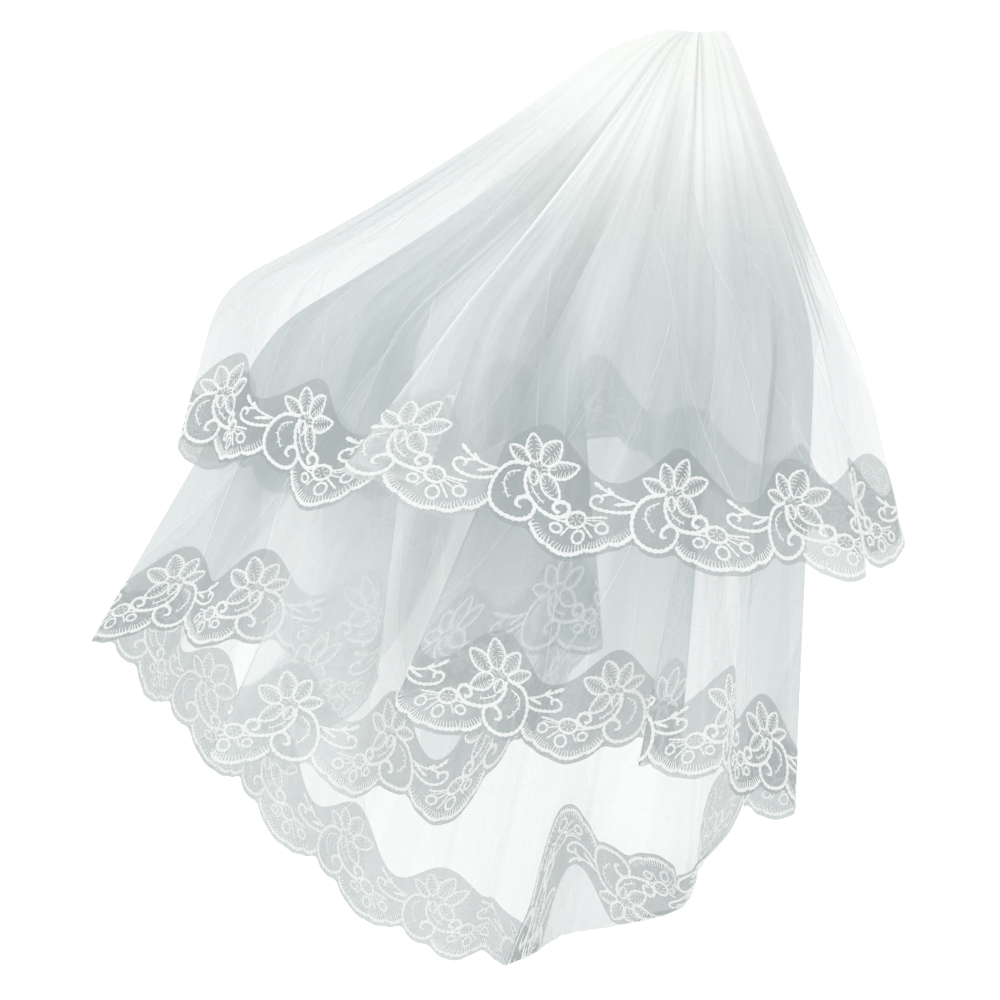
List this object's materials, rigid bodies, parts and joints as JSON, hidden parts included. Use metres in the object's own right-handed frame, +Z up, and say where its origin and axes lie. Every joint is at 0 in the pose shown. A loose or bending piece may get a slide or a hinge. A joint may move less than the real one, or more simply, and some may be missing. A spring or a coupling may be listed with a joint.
{
  "type": "lace bridal veil",
  "caption": "Two-tier tulle bridal veil gathered on a hair comb, each tier edged with a wide scalloped floral lace border, shaped as it hangs when worn.",
  "frame": {"origin": "middle of the comb's top face, where the gathered veil pins on", "axes": "+Z up as worn, -Y towards the viewer of the picture, +X to the viewer's right"},
  "size_m": [0.8239, 0.5228, 1.0322],
  "materials": {
    "tulle": "fine soft net, nearly clear in one layer",
    "lace": "white corded embroidery on a second layer of net",
    "comb_plastic": "smooth pale plastic"
  },
  "bodies": {
    "root": {"upper_tier": "tulle", "upper_lace_border": "lace", "lower_tier": "tulle", "lower_lace_border": "lace", "comb": "comb_plastic"}
  },
  "joints": []
}
